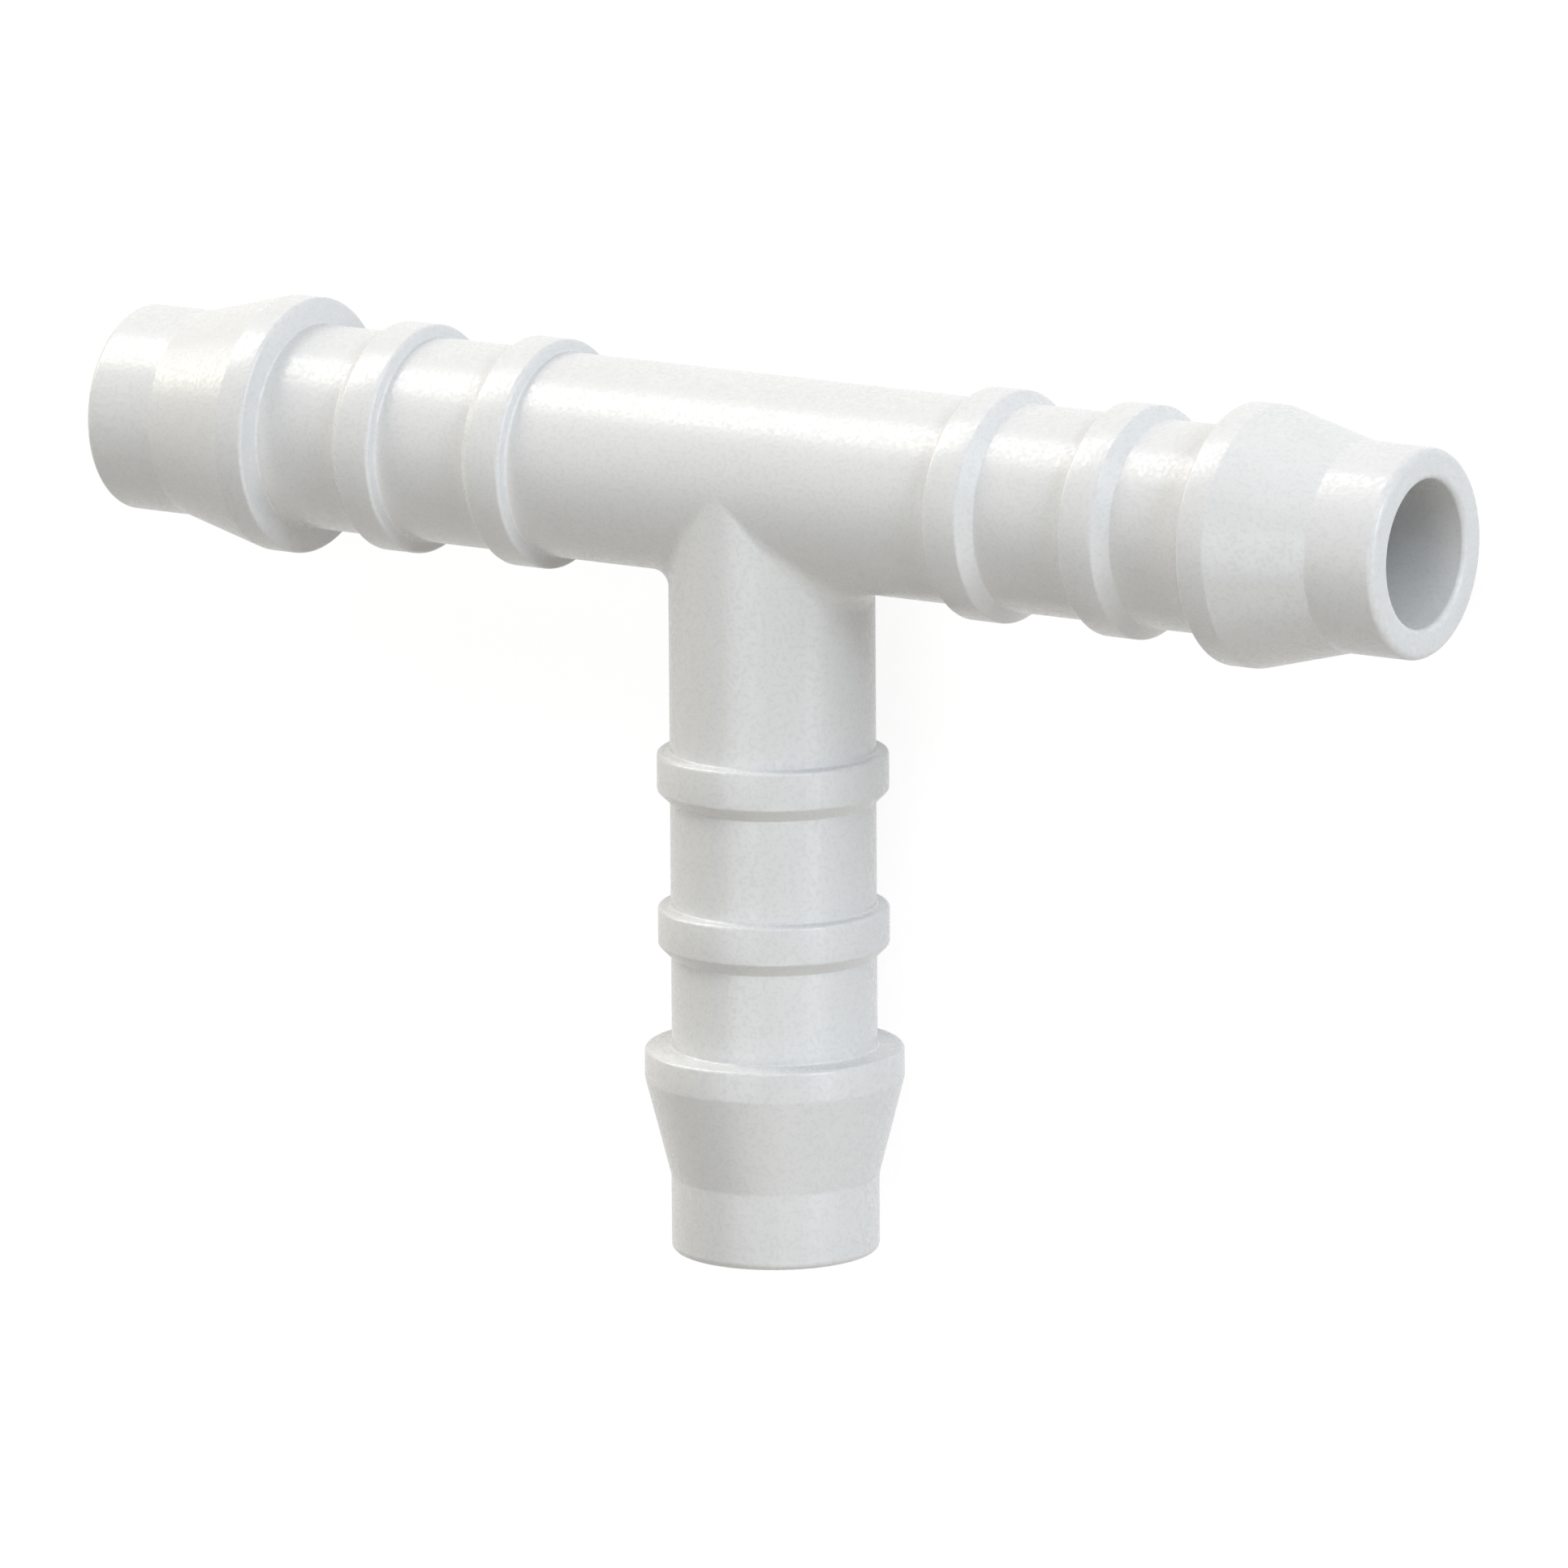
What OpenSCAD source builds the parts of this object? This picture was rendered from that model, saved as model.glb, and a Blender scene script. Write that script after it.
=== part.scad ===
// Equal tee for 8 mm hose, moulded in one piece. It lies flat on its three barbs: the run is along X,
// the branch points to -Y, and the origin is where the two axes cross.

/* [Tee] */
// Length of the run from end to end
run_len = 59; // [52:0.5:90]
// Length of the branch from the axis of the run to its end
branch_len = 30.5; // [26:0.5:45]
// Outside diameter of the plain tube, which the hose has to pass
tube_d = 8; // [7.2:0.1:8.4]
// Diameter of the bore, the same in all three arms
bore_d = 5.7; // [3:0.1:6.4]
// Fillet radius in the two corners between run and branch
crotch_r = 1; // [0.4:0.1:2]

/* [Nose] */
// Diameter of the short cylinder at each end
nose_d = 8.1; // [7.6:0.1:9]
// Length of that cylinder, from the end face to the cone
nose_len = 3; // [1:0.1:5]
// Radius of the round at its outer edge
nose_r = 0.3; // [0.1:0.05:0.5]
// Radius of the round at the mouth of the bore
mouth_r = 0.25; // [0.1:0.05:0.4]

/* [Barb] */
// Largest diameter of the barb
barb_d = 10.1; // [9.2:0.1:12]
// Length of the cone that spreads the hose
cone_len = 3.9; // [2:0.1:6]
// Length of the cylindrical land behind the cone
barb_land = 1.2; // [0.4:0.1:2.5]

/* [Rings] */
// Diameter of the two low rings
ring_d = 9; // [8.6:0.1:10]
// Length of a ring's cylindrical land
ring_land = 1.5; // [0.5:0.1:2.5]
// From the shoulder of the barb to the shoulder of the outer ring
first_pitch = 5.6; // [4:0.1:8]
// From the shoulder of the outer ring to the shoulder of the inner ring
ring_pitch = 6.1; // [4:0.1:8]

/* [Edges] */
// Radius on the outer edges of the barb and rings
edge_r = 0.15; // [0.05:0.05:0.2]
// Fillet radius at the foot of each shoulder
root_r = 0.1; // [0.05:0.05:0.2]

/* [Hidden] */
$fn = 96;

tube_r = tube_d / 2;
bore_r = bore_d / 2;
end_r = nose_d / 2;
barb_r = barb_d / 2;
ring_r = ring_d / 2;
ring_rise = ring_r - tube_r;

// Distances back from an arm's end
cone_back = nose_len + cone_len;
barb_back = cone_back + barb_land;
outer_back = barb_back + first_pitch;
inner_back = outer_back + ring_pitch;

// Smoothness of the small rounds and of the crotch fillets
edge_fn = 32;
fillet_rows = 36;
fillet_steps = 8;
// Angles up the crotch, from its middle, to the fillet's last whole row and to the tip where it fades out
fillet_reach = 72;
fillet_tip = 86;
// How far the fillet's edges and its core are sunk into the tubes
fillet_sink = 0.02;
fillet_core = 0.5;
// How far a cutting shape runs past what it cuts
over = 1;

function unit(angle) = [cos(angle), sin(angle)];

// What lies between the arc of radius r and the sharp corner at p, whose edges leave it at angles a and b
module corner(p, a, b, r) {
    half = (b - a) / 2;
    centre = p + r / sin(half) * unit(a + half);
    reach = r / tan(half);
    difference() {
        polygon([p, p + reach * unit(a), centre, p + reach * unit(b)]);
        translate(centre) circle(r, $fn = edge_fn);
    }
}

// Half section of a ring: the shoulder at height s, the land, and a 45 degree chamfer towards the end
module ring_section(s) {
    top = s + ring_land + ring_rise;
    difference() {
        polygon([[0, s], [ring_r, s], [ring_r, top - ring_rise], [tube_r, top], [0, top]]);
        corner([ring_r, s], 90, 180, edge_r);
        corner([ring_r, top - ring_rise], 135, 270, edge_r);
    }
    corner([tube_r, s], 270, 360, root_r);
}

// Half section of the barb and nose, up to the end face at height len
module barb_section(len) {
    s = len - barb_back;
    difference() {
        polygon([
            [0, s], [barb_r, s], [barb_r, len - cone_back], [end_r, len - nose_len], [end_r, len], [0, len]
        ]);
        corner([barb_r, s], 90, 180, edge_r);
        corner([end_r, len], 180, 270, nose_r);
    }
    corner([tube_r, s], 270, 360, root_r);
}

// Half section of an arm without its bore, from the crossing of the axes to its end
module arm_section(len) {
    square([tube_r, len - barb_back]);
    ring_section(len - inner_back);
    ring_section(len - outer_back);
    barb_section(len);
}

// Half section of an arm's bore, with the round at its mouth
module bore_section(len) {
    square([bore_r, len + over]);
    translate([0, len]) square([bore_r + mouth_r, over]);
    corner([bore_r, len], 270, 360, mouth_r);
}

// Point at angle t on an ellipse that follows the crotch, its reach x along the run, y along the branch, z up
function crotch_point(x, y, z, t) = [x * cos(t), -y * cos(t), z * sin(t)];

// Point at angle t, at share u of the arc from run to branch of the ball that rolls in the crotch
function arc_point(t, u) =
    let (path_r = tube_r + crotch_r)
    let (spread = acos(sin(t) * sin(t)))
    let (to_run = crotch_point(0, -1, -1, t))
    let (to_branch = crotch_point(-1, 0, -1, t))
    crotch_point(path_r, path_r, path_r, t)
    + crotch_r * (sin((1 - u) * spread) * to_run + sin(u * spread) * to_branch) / sin(spread);

// Rolling ball fillet in the corner on the +X side of the branch
module crotch_fillet() {
    path_r = tube_r + crotch_r;
    sunk_r = tube_r - fillet_sink;
    deep_r = tube_r - fillet_core;
    width = fillet_steps + 2;
    last = fillet_rows * width;
    rows = [
        for (i = [0:fillet_rows])
            let (t = fillet_reach * (2 * i / fillet_rows - 1))
            each [
                crotch_point(path_r, sunk_r, sunk_r, t),
                for (j = [1:fillet_steps - 1]) arc_point(t, j / fillet_steps),
                crotch_point(sunk_r, path_r, sunk_r, t),
                crotch_point(deep_r, deep_r, deep_r, t)
            ]
    ];
    tips = [for (t = [-fillet_tip, fillet_tip]) crotch_point(sunk_r, sunk_r, sunk_r, t)];
    sides = [
        for (i = [0:fillet_rows - 1], j = [0:width - 1])
            let (a = i * width + j, b = i * width + (j + 1) % width)
            each [[a, b, a + width], [b, b + width, a + width]]
    ];
    ends = [
        for (j = [0:width - 1])
            let (next = (j + 1) % width)
            each [[next, j, last + width], [last + j, last + next, last + width + 1]]
    ];
    polyhedron([each rows, each tips], [each sides, each ends], convexity = 4);
}

module tee_body() {
    color("whitesmoke")
    difference() {
        union() {
            rotate([0, 90, 0]) rotate_extrude() {
                arm_section(run_len / 2);
                mirror([0, 1]) arm_section(run_len / 2);
            }
            rotate([90, 0, 0]) rotate_extrude() arm_section(branch_len);
            crotch_fillet();
            mirror([1, 0, 0]) crotch_fillet();
        }
        rotate([0, 90, 0]) rotate_extrude() {
            bore_section(run_len / 2);
            mirror([0, 1]) bore_section(run_len / 2);
        }
        rotate([90, 0, 0]) rotate_extrude() bore_section(branch_len);
    }
}

tee_body();
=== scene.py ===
"""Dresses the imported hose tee: its moulded skin, its white plastic, and the studio that it lies in."""

import logging
import math
from dataclasses import dataclass, field
from enum import Enum

import bmesh
import bpy
from bmesh.types import BMEdge, BMesh, BMVert
from mathutils import Matrix, Vector


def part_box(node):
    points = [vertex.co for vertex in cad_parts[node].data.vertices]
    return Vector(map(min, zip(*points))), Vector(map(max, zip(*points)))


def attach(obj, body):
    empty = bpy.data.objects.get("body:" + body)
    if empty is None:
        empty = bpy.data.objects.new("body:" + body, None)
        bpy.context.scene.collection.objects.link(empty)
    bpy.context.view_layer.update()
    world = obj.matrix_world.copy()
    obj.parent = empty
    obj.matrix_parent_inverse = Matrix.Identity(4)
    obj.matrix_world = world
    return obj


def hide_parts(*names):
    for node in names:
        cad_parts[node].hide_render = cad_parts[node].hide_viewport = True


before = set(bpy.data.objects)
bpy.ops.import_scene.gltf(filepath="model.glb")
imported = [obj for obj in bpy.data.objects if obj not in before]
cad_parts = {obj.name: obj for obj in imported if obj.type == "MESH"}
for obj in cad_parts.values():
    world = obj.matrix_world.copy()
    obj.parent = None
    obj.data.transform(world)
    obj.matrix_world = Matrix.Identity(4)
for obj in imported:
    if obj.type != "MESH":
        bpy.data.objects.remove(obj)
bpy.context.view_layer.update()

MM = 0.001
WHITE = (1.0, 1.0, 1.0, 1.0)

log = logging.getLogger("hose_tee")


def direction(azimuth: float, elevation: float) -> Vector:
    """Gives the direction from the tee to a lamp or a camera, as the frame's own views count it.

    Args:
        azimuth: Degrees from the front, towards the right.
        elevation: Degrees above the floor.

    Returns:
        The direction, of length 1.
    """
    turn, lift = math.radians(azimuth), math.radians(elevation)
    return Vector((math.sin(turn) * math.cos(lift), -math.cos(turn) * math.cos(lift), math.sin(lift)))


def place_mesh(name: str, made: BMesh, finish: bpy.types.Material) -> bpy.types.Object:
    """Turns a finished mesh into an object of the scene.

    Args:
        name: The object's name.
        made: The mesh, which is used up.
        finish: The material that it is dressed with.

    Returns:
        The object, at the origin.
    """
    data = bpy.data.meshes.new(name)
    made.to_mesh(data)
    made.free()
    data.materials.append(finish)
    placed = bpy.data.objects.new(name, data)
    bpy.context.scene.collection.objects.link(placed)
    return placed


class Turn(Enum):
    """How far a half section is turned about its axis, in radians."""

    HALF = math.pi
    FULL = 2 * math.pi


@dataclass(frozen=True)
class Corner:
    """A corner of an arm's half section, in millimetres, and how many steps its round has."""

    along: float
    radius: float
    rounding: float = 0.0
    steps: int = 3


@dataclass(frozen=True)
class ArmSizes:
    """The moulded sizes that all three arms share, in millimetres, from the end inwards."""

    nose_radius: float = 4.05
    nose_length: float = 3.0
    cone_length: float = 3.9
    barb_radius: float = 5.05
    barb_land: float = 1.2
    ring_radius: float = 4.5
    ring_land: float = 1.5
    first_pitch: float = 5.6
    ring_pitch: float = 6.1
    tube_radius: float = 4.0
    bore_radius: float = 2.85
    nose_rounding: float = 0.3
    mouth_rounding: float = 0.25
    edge_rounding: float = 0.15
    root_rounding: float = 0.1
    cone_rounding: float = 0.5
    edge_steps: int = 5
    end_steps: int = 7

    def ring(self, shoulder: float) -> list[Corner]:
        """Gives the corners of one low ring.

        Args:
            shoulder: Where the ring's shoulder stands, from the crossing of the axes.

        Returns:
            The corners, from the foot of the shoulder to the foot of the chamfer.
        """
        land_end = shoulder + self.ring_land
        chamfer_foot = land_end + self.ring_radius - self.tube_radius
        return [
            Corner(shoulder, self.tube_radius, self.root_rounding),
            Corner(shoulder, self.ring_radius, self.edge_rounding, self.edge_steps),
            Corner(land_end, self.ring_radius, self.edge_rounding),
            Corner(chamfer_foot, self.tube_radius, self.root_rounding),
        ]

    def outside(self, length: float) -> list[Corner]:
        """Gives the line of an arm's outside.

        Args:
            length: From the crossing of the axes to the arm's end.

        Returns:
            The corners, from the crossing along the tube and round the nose to the middle of the end face.
        """
        cone_start = length - self.nose_length
        land_end = cone_start - self.cone_length
        barb_shoulder = land_end - self.barb_land
        outer_shoulder = barb_shoulder - self.first_pitch
        return [
            Corner(0.0, self.tube_radius),
            *self.ring(outer_shoulder - self.ring_pitch),
            *self.ring(outer_shoulder),
            Corner(barb_shoulder, self.tube_radius, self.root_rounding),
            Corner(barb_shoulder, self.barb_radius, self.edge_rounding, self.edge_steps),
            Corner(land_end, self.barb_radius, self.cone_rounding),
            Corner(cone_start, self.nose_radius, self.cone_rounding),
            Corner(length, self.nose_radius, self.nose_rounding, self.end_steps),
            Corner(length, (self.nose_radius + self.bore_radius) / 2),
        ]

    def bore(self, length: float) -> list[Corner]:
        """Gives the line of an arm's bore.

        Args:
            length: From the crossing of the axes to the arm's end.

        Returns:
            The corners, from the crossing to the middle of the end face.
        """
        return [
            Corner(0.0, self.bore_radius),
            Corner(length, self.bore_radius, self.mouth_rounding, self.end_steps),
            Corner(length, (self.nose_radius + self.bore_radius) / 2),
        ]


@dataclass(frozen=True)
class MouldedPlastic:
    """White acetal as it leaves the mould: satin, with a fine grain and a faint clouding from its flow.

    The grain's low places have the colour, and its high places the shade. A noise pattern stays mostly
    between noise_low and noise_high.
    """

    name: str = "white_plastic"
    colour: tuple[float, float, float] = (0.765, 0.765, 0.76)
    shade: tuple[float, float, float] = (0.678, 0.679, 0.676)
    refraction: float = 1.48
    roughness: float = 0.31
    roughness_spread: float = 0.06
    grain_size: float = 0.165 * MM
    grain_detail: float = 0.0
    grain_depth: float = 0.005 * MM
    flow_size: float = 9.0 * MM
    flow_detail: float = 2.0
    flow_share: float = 0.25
    noise_low: float = 0.3
    noise_high: float = 0.7

    def noise(self, tree: bpy.types.NodeTree, size: float, detail: float) -> bpy.types.NodeSocket:
        """Adds a noise pattern on Object coordinates.

        Args:
            tree: The material's node tree.
            size: The size of one patch, in metres.
            detail: How many finer octaves lie on it.

        Returns:
            The pattern's value, around 0.5.
        """
        place = tree.nodes.new("ShaderNodeTexCoord")
        pattern = tree.nodes.new("ShaderNodeTexNoise")
        pattern.inputs["Scale"].default_value = 1.0 / size
        pattern.inputs["Detail"].default_value = detail
        tree.links.new(place.outputs["Object"], pattern.inputs["Vector"])
        return pattern.outputs["Fac"]

    def spread(
        self, tree: bpy.types.NodeTree, pattern: bpy.types.NodeSocket, low: float, high: float
    ) -> bpy.types.NodeSocket:
        """Maps a noise pattern's usual range onto another.

        Args:
            tree: The material's node tree.
            pattern: The noise value.
            low: The result where the pattern is low.
            high: The result where the pattern is high.

        Returns:
            The mapped value.
        """
        mapped = tree.nodes.new("ShaderNodeMapRange")
        mapped.inputs["From Min"].default_value = self.noise_low
        mapped.inputs["From Max"].default_value = self.noise_high
        mapped.inputs["To Min"].default_value = low
        mapped.inputs["To Max"].default_value = high
        tree.links.new(pattern, mapped.inputs["Value"])
        return mapped.outputs["Result"]

    def material(self) -> bpy.types.Material:
        """Builds the material.

        Returns:
            The node material.
        """
        made = bpy.data.materials.new(self.name)
        made.use_nodes = True
        tree = made.node_tree
        shader = tree.nodes["Principled BSDF"]
        grain = self.noise(tree, self.grain_size, self.grain_detail)
        flow = self.noise(tree, self.flow_size, self.flow_detail)
        both = tree.nodes.new("ShaderNodeMix")
        both.inputs["Factor"].default_value = self.flow_share
        tree.links.new(self.spread(tree, grain, 0.0, 1.0), both.inputs["A"])
        tree.links.new(self.spread(tree, flow, 0.0, 1.0), both.inputs["B"])
        tint = tree.nodes.new("ShaderNodeMix")
        tint.data_type = "RGBA"
        first, second = [s for s in tint.inputs if s.type == "RGBA"]
        first.default_value = (*self.colour, 1.0)
        second.default_value = (*self.shade, 1.0)
        tree.links.new(both.outputs["Result"], tint.inputs[0])
        tinted = next(s for s in tint.outputs if s.type == "RGBA")
        tree.links.new(tinted, shader.inputs["Base Color"])
        low, high = self.roughness - self.roughness_spread, self.roughness + self.roughness_spread
        tree.links.new(self.spread(tree, grain, low, high), shader.inputs["Roughness"])
        bump = tree.nodes.new("ShaderNodeBump")
        bump.inputs["Strength"].default_value = 1.0
        bump.inputs["Distance"].default_value = self.grain_depth
        tree.links.new(grain, bump.inputs["Height"])
        tree.links.new(bump.outputs["Normal"], shader.inputs["Normal"])
        shader.inputs["IOR"].default_value = self.refraction
        return made


@dataclass
class TeeSkin:
    """The tee's whole moulded skin, inside and out, as one closed mesh. Sizes are in millimetres."""

    name: str = "tee_skin"
    run_half: float = 29.5
    branch_length: float = 30.5
    crotch_radius: float = 1.0
    arm: ArmSizes = field(default_factory=ArmSizes)
    finish: MouldedPlastic = field(default_factory=MouldedPlastic)
    turn_steps: int = 160
    fillet_steps: int = 10
    same_place: float = 0.0005
    crease: float = math.radians(40.0)

    def draw_line(self, mesh: BMesh, corners: list[Corner], along: Vector) -> list[BMEdge]:
        """Draws a line of edges through the corners, in the upright plane of an axis, and rounds them.

        Args:
            mesh: The mesh that takes the line.
            corners: The line's corners.
            along: The direction of the axis.

        Returns:
            The line's edges.
        """
        old = set(mesh.edges)
        points = [mesh.verts.new(along * c.along + Vector((0.0, 0.0, c.radius))) for c in corners]
        for pair in zip(points, points[1:]):
            mesh.edges.new(pair)
        for before, corner, after, point in zip(corners, corners[1:], corners[2:], points[1:]):
            arrive = Vector((corner.along - before.along, corner.radius - before.radius))
            leave = Vector((after.along - corner.along, after.radius - corner.radius))
            bmesh.ops.bevel(
                mesh,
                geom=[point],
                affect="VERTICES",
                offset_type="OFFSET",
                offset=corner.rounding * math.tan(arrive.angle(leave) / 2),
                segments=corner.steps,
                profile=0.5,
                material=-1,
            )
        return [e for e in mesh.edges if e not in old]

    def turn_line(
        self, mesh: BMesh, corners: list[Corner], along: Vector, turn: Turn, keep: Vector
    ) -> list[BMEdge]:
        """Turns a line about its axis, and trims the surface by a plane through the crossing of the axes.

        Args:
            mesh: The mesh that takes the surface.
            corners: The line's corners.
            along: The direction of the axis.
            turn: How far the line is turned.
            keep: The plane's normal, towards what stays.

        Returns:
            The edges along the trim.
        """
        old = set(mesh.faces)
        line = self.draw_line(mesh, corners, along)
        bmesh.ops.spin(
            mesh,
            geom=[*line, *{v for e in line for v in e.verts}],
            cent=Vector(),
            axis=Vector((abs(along.x), abs(along.y), 0.0)),
            angle=turn.value,
            steps=round(self.turn_steps * turn.value / Turn.FULL.value),
            use_merge=turn is Turn.FULL,
        )
        new = [f for f in mesh.faces if f not in old]
        parts = {part for f in new for part in (f, *f.edges, *f.verts)}
        cut = bmesh.ops.bisect_plane(
            mesh, geom=list(parts), dist=self.same_place, plane_co=Vector(), plane_no=keep, clear_inner=True
        )
        return [part for part in cut["geom_cut"] if isinstance(part, BMEdge)]

    def on_ball(self, point: Vector) -> Vector:
        """Moves a point onto the ball that rolls in the crotch, at the point's own height.

        Args:
            point: A point between the ball's two lines of contact.

        Returns:
            The point on the ball.
        """
        path_radius = self.arm.tube_radius + self.crotch_radius
        rise = max(-1.0, min(1.0, point.z / self.arm.tube_radius))
        out = math.sqrt(1.0 - rise * rise)
        centre = Vector((out, -out, rise)) * path_radius
        return centre + (point - centre).normalized() * self.crotch_radius

    def fill_crotch(self, mesh: BMesh, run_edges: list[BMEdge], branch_edges: list[BMEdge]) -> None:
        """Joins the trims of the run and the branch with the fillet between them.

        Args:
            mesh: The mesh that takes the fillet.
            run_edges: The ball's line of contact on the run.
            branch_edges: The ball's line of contact on the branch.
        """
        joined = bmesh.ops.bridge_loops(mesh, edges=run_edges + branch_edges)
        sides = set(run_edges) | set(branch_edges)
        across = {e for f in joined["faces"] for e in f.edges if e not in sides}
        split = bmesh.ops.subdivide_edges(mesh, edges=list(across), cuts=self.fillet_steps - 1)
        for part in split["geom_inner"]:
            if isinstance(part, BMVert):
                part.co = self.on_ball(part.co)

    def mesh(self) -> BMesh:
        """Builds the skin in metres.

        Returns:
            The closed mesh.
        """
        made = bmesh.new()
        right, branch = Vector((1.0, 0.0, 0.0)), Vector((0.0, -1.0, 0.0))
        tube, path = self.arm.tube_radius, self.arm.tube_radius + self.crotch_radius
        # Each outer surface ends where the ball touches it, and the bores meet in a mitre of 45 degrees.
        run_edges = self.turn_line(
            made, self.arm.outside(self.run_half), right, Turn.FULL, Vector((tube, path, 0.0))
        )
        branch_edges = self.turn_line(
            made, self.arm.outside(self.branch_length), branch, Turn.HALF, Vector((-path, -tube, 0.0))
        )
        self.turn_line(made, self.arm.bore(self.run_half), right, Turn.FULL, Vector((1.0, 1.0, 0.0)))
        self.turn_line(made, self.arm.bore(self.branch_length), branch, Turn.HALF, Vector((-1.0, -1.0, 0.0)))
        self.fill_crotch(made, run_edges, branch_edges)
        bmesh.ops.remove_doubles(made, verts=made.verts, dist=self.same_place)
        bmesh.ops.mirror(
            made,
            geom=[*made.verts, *made.edges, *made.faces],
            matrix=Matrix.Identity(4),
            merge_dist=self.same_place,
            axis="X",
        )
        bmesh.ops.dissolve_degenerate(made, dist=self.same_place, edges=made.edges)
        bmesh.ops.recalc_face_normals(made, faces=made.faces)
        bmesh.ops.scale(made, vec=Vector((MM, MM, MM)), verts=made.verts)
        return made

    def build(self) -> bpy.types.Object:
        """Builds the skin, dresses it and puts it in the CAD node's place.

        Returns:
            The skin's object.
        """
        made = self.mesh()
        for face in made.faces:
            face.smooth = True
        for edge in made.edges:
            edge.smooth = edge.calc_face_angle(0.0) < self.crease
        skin = place_mesh(self.name, made, self.finish.material())
        normals = skin.modifiers.new("flat_faces_stay_flat", "WEIGHTED_NORMAL")
        normals.keep_sharp = True
        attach(skin, "root")
        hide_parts("tee_body")
        return skin


@dataclass(frozen=True)
class WhiteGround:
    """The finish of the floor and of the air around it: white to the camera, plain to the light."""

    name: str = "white_ground"
    colour: tuple[float, float, float] = (0.9, 0.9, 0.9)
    glow: float = 0.9
    shadow_colour: tuple[float, float, float] = (0.18, 0.18, 0.18)

    def seen(self, tree: bpy.types.NodeTree) -> bpy.types.NodeSocket:
        """Adds a value that is 1 for the camera, a reflection or what shows through glass.

        Args:
            tree: The node tree that takes it.

        Returns:
            The value.
        """
        path = tree.nodes.new("ShaderNodeLightPath")
        total = path.outputs["Is Camera Ray"]
        for kind in ("Is Glossy Ray", "Is Transmission Ray"):
            add = tree.nodes.new("ShaderNodeMath")
            add.operation = "ADD"
            add.use_clamp = True
            tree.links.new(total, add.inputs[0])
            tree.links.new(path.outputs[kind], add.inputs[1])
            total = add.outputs[0]
        return total

    def material(self) -> bpy.types.Material:
        """Builds the floor's material, which stays white and keeps a faint shadow.

        Returns:
            The node material.
        """
        made = bpy.data.materials.new(self.name)
        made.use_nodes = True
        tree = made.node_tree
        tree.nodes.clear()
        matt = tree.nodes.new("ShaderNodeBsdfDiffuse")
        matt.inputs["Color"].default_value = (*self.colour, 1.0)
        glow = tree.nodes.new("ShaderNodeEmission")
        glow.inputs["Color"].default_value = WHITE
        glow.inputs["Strength"].default_value = self.glow
        shaded = tree.nodes.new("ShaderNodeBsdfDiffuse")
        shaded.inputs["Color"].default_value = (*self.shadow_colour, 1.0)
        shown = tree.nodes.new("ShaderNodeAddShader")
        mix = tree.nodes.new("ShaderNodeMixShader")
        out = tree.nodes.new("ShaderNodeOutputMaterial")
        tree.links.new(glow.outputs[0], shown.inputs[0])
        tree.links.new(shaded.outputs[0], shown.inputs[1])
        tree.links.new(self.seen(tree), mix.inputs[0])
        tree.links.new(matt.outputs[0], mix.inputs[1])
        tree.links.new(shown.outputs[0], mix.inputs[2])
        tree.links.new(mix.outputs[0], out.inputs["Surface"])
        return made


@dataclass
class Floor:
    """The plain floor that the tee lies on, in millimetres."""

    name: str = "floor"
    half_side: float = 3000.0
    ground: WhiteGround = field(default_factory=WhiteGround)

    def build(self) -> bpy.types.Object:
        """Lays the floor under the lowest point of the frame.

        Returns:
            The floor's object.
        """
        made = bmesh.new()
        bmesh.ops.create_grid(made, x_segments=1, y_segments=1, size=self.half_side * MM)
        bmesh.ops.translate(made, vec=Vector((0.0, 0.0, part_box("tee_body")[0].z)), verts=made.verts)
        floor = place_mesh(self.name, made, self.ground.material())
        return floor


@dataclass(frozen=True)
class SoftBox:
    """A soft lamp that points at the tee. Angles are in degrees and lengths in millimetres."""

    name: str
    azimuth: float
    elevation: float
    radiance: float
    colour: tuple[float, float, float]
    width: float
    height: float
    distance: float = 700.0

    def build(self) -> bpy.types.Object:
        """Hangs the lamp.

        Returns:
            The lamp's object.
        """
        data = bpy.data.lights.new(self.name, "AREA")
        data.shape = "RECTANGLE"
        data.size, data.size_y = self.width * MM, self.height * MM
        data.energy = self.radiance * math.pi * data.size * data.size_y
        data.color = self.colour
        towards = direction(self.azimuth, self.elevation)
        lamp = bpy.data.objects.new(self.name, data)
        lamp.location = towards * self.distance * MM
        lamp.rotation_mode = "QUATERNION"
        lamp.rotation_quaternion = towards.to_track_quat("Z", "Y")
        bpy.context.scene.collection.objects.link(lamp)
        return lamp


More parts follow.
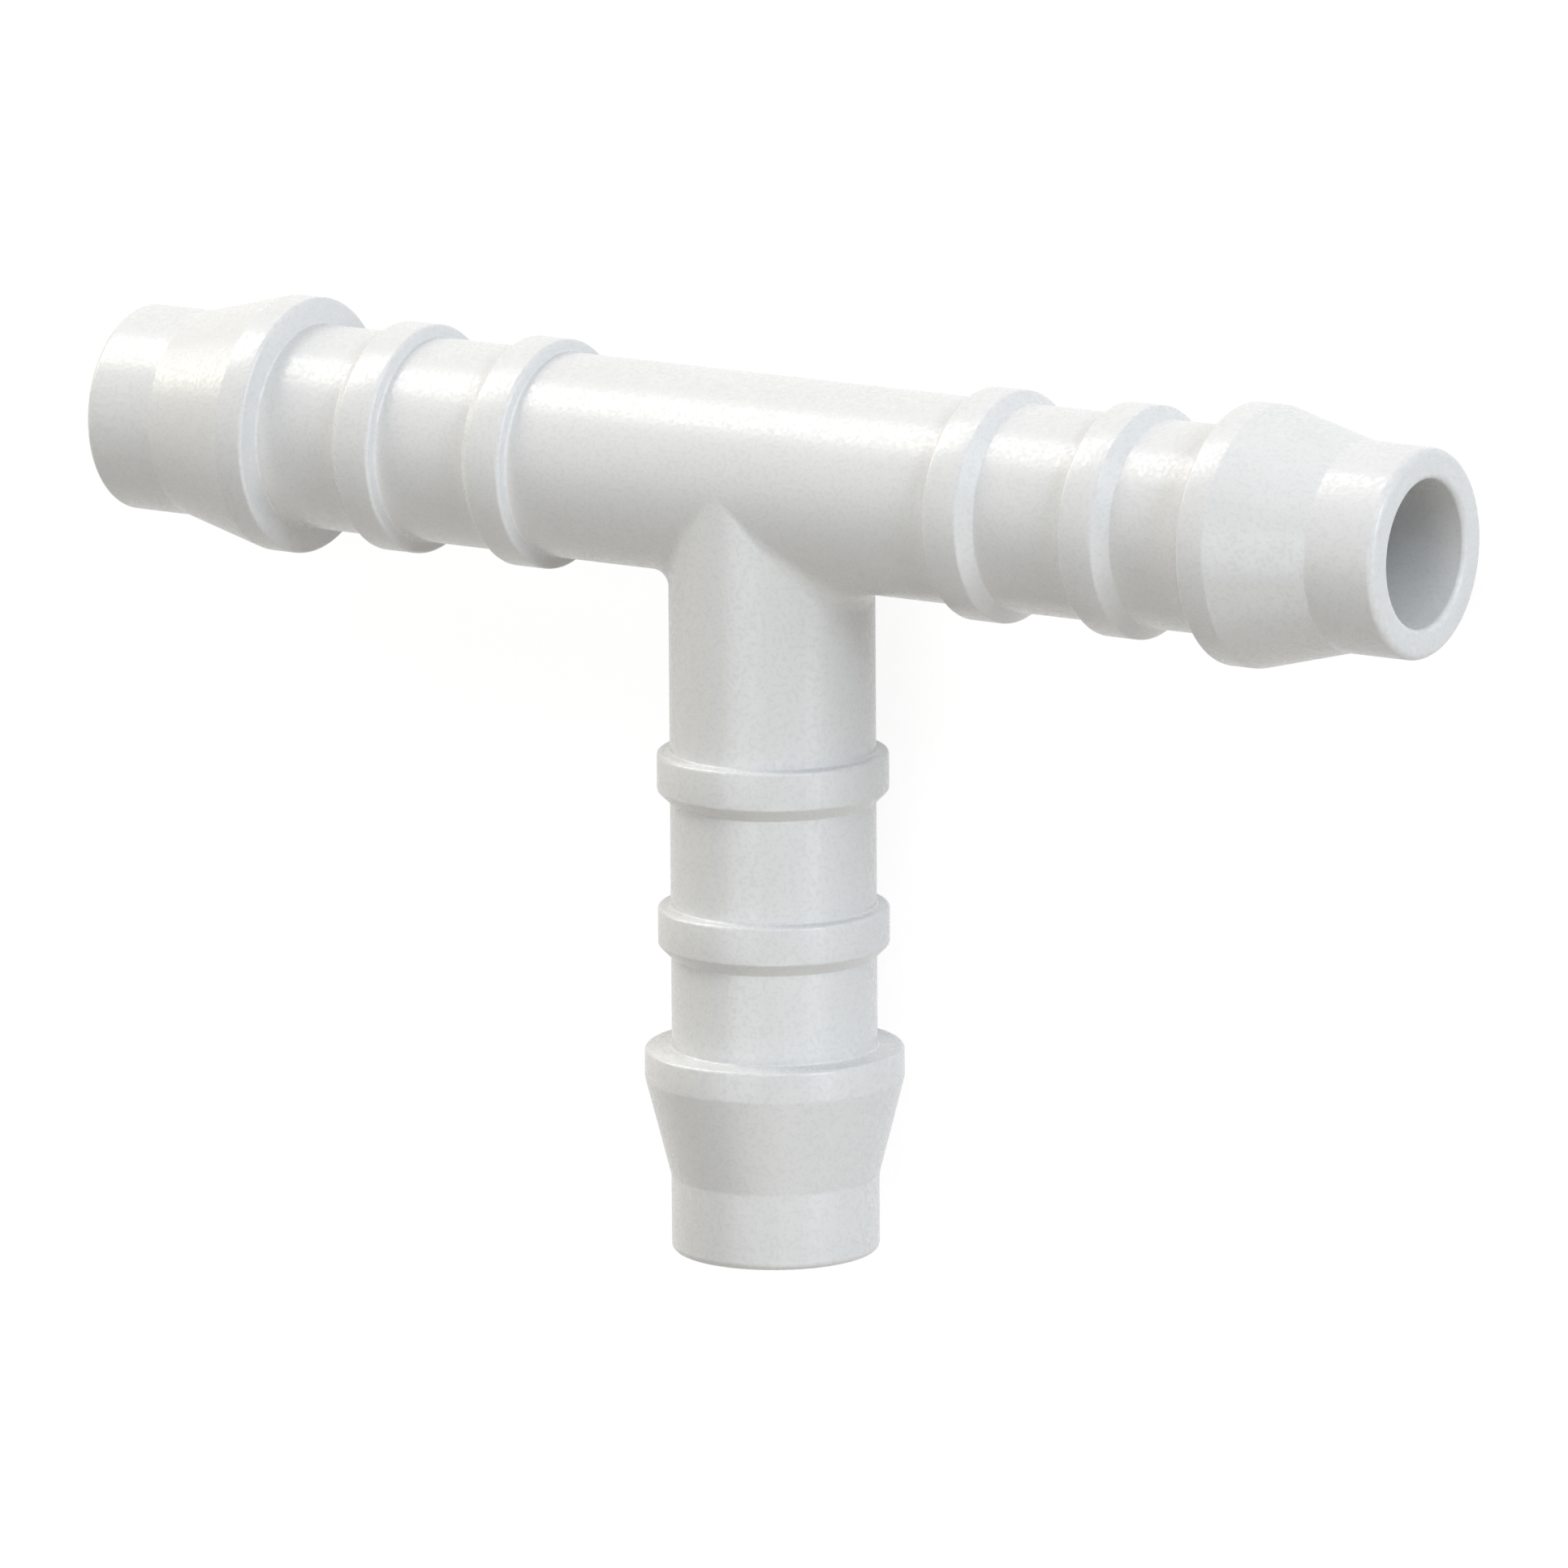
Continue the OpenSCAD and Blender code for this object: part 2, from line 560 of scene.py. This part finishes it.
@dataclass
class Studio:
    """The lamps and the even light around the tee."""

    lamps: tuple[SoftBox, ...] = (
        SoftBox("back_strip", 217.0, 3.5, 12.0, (1.0, 0.95, 0.93), 480.0, 90.0),
        SoftBox("back_box", 222.0, 16.5, 8.8, (1.0, 0.96, 0.88), 320.0, 130.0),
        SoftBox("left_box", 247.0, 10.0, 7.6, (1.0, 1.0, 0.84), 200.0, 200.0),
        SoftBox("rear_box", 150.0, 35.0, 3.1, (0.93, 0.97, 1.0), 400.0, 300.0),
        SoftBox("right_box", 121.0, 8.0, 9.8, (0.88, 0.94, 1.0), 250.0, 170.0),
        SoftBox("right_spot", 112.0, 20.0, 8.6, (0.7, 0.83, 1.0), 150.0, 150.0),
        SoftBox("right_wing", 88.0, 12.0, 1.9, (1.0, 1.0, 1.0), 450.0, 220.0),
        SoftBox("top_box", 0.0, 88.0, 2.3, (1.0, 1.0, 1.0), 500.0, 500.0),
        SoftBox("front_box", 28.0, 42.0, 0.95, (1.0, 0.93, 0.79), 800.0, 450.0),
    )
    even_light: float = 0.01
    ground: WhiteGround = field(default_factory=WhiteGround)

    def build_world(self) -> None:
        """Lights the scene evenly, and shows white where a ray leaves it."""
        world = bpy.data.worlds.new("studio")
        world.use_nodes = True
        tree = world.node_tree
        even = tree.nodes["Background"]
        even.inputs["Color"].default_value = WHITE
        even.inputs["Strength"].default_value = self.even_light
        white = tree.nodes.new("ShaderNodeBackground")
        white.inputs["Color"].default_value = WHITE
        white.inputs["Strength"].default_value = 1.0
        mix = tree.nodes.new("ShaderNodeMixShader")
        tree.links.new(self.ground.seen(tree), mix.inputs[0])
        tree.links.new(even.outputs[0], mix.inputs[1])
        tree.links.new(white.outputs[0], mix.inputs[2])
        tree.links.new(mix.outputs[0], tree.nodes["World Output"].inputs["Surface"])
        bpy.context.scene.world = world

    def build(self) -> list[bpy.types.Object]:
        """Builds the world's light and hangs the lamps.

        Returns:
            The lamps.
        """
        self.build_world()
        return [lamp.build() for lamp in self.lamps]


@dataclass(frozen=True)
class PhotoCamera:
    """The camera at the photograph's place. Angles are in degrees and lengths in millimetres."""

    name: str = "photo_camera"
    azimuth: float = 111.0598
    elevation: float = 55.2008
    roll: float = -0.35375
    distance: float = 694.883
    aim_right: float = 0.495212
    aim_up: float = -11.79408
    lens: float = 413.376
    sensor: float = 36.0
    nearest: float = 10.0
    furthest: float = 20000.0

    def build(self) -> bpy.types.Object:
        """Places the camera, with the branch pointing down in the picture.

        Returns:
            The camera's object.
        """
        back = direction(self.azimuth, self.elevation)
        level = (-back).cross(Vector((0.0, 1.0, 0.0))).normalized()
        rotation = Matrix.Rotation(math.radians(self.roll), 3, back)
        right = rotation @ level
        up = back.cross(right)
        place = (back * self.distance + right * self.aim_right + up * self.aim_up) * MM
        data = bpy.data.cameras.new(self.name)
        data.lens = self.lens
        data.sensor_width = self.sensor
        data.sensor_fit = "HORIZONTAL"
        data.clip_start, data.clip_end = self.nearest * MM, self.furthest * MM
        camera = bpy.data.objects.new(self.name, data)
        camera.matrix_world = Matrix.Translation(place) @ Matrix((right, up, back)).transposed().to_4x4()
        bpy.context.scene.collection.objects.link(camera)
        bpy.context.scene.camera = camera
        return camera


def main() -> None:
    """Builds the dressed tee and its studio."""
    logging.basicConfig(level=logging.INFO, format="%(message)s")
    bpy.context.scene.view_settings.view_transform = "Standard"
    skin = TeeSkin().build()
    log.info("%s: %d faces", skin.name, len(skin.data.polygons))
    floor = Floor().build()
    log.info("%s: %.1f m wide", floor.name, floor.dimensions.x)
    for lamp in Studio().build():
        log.info("%s: %.2f W", lamp.name, lamp.data.energy)
    camera = PhotoCamera().build()
    log.info("%s: lens %.1f mm", camera.name, camera.data.lens)


if __name__ == "__main__":
    main()
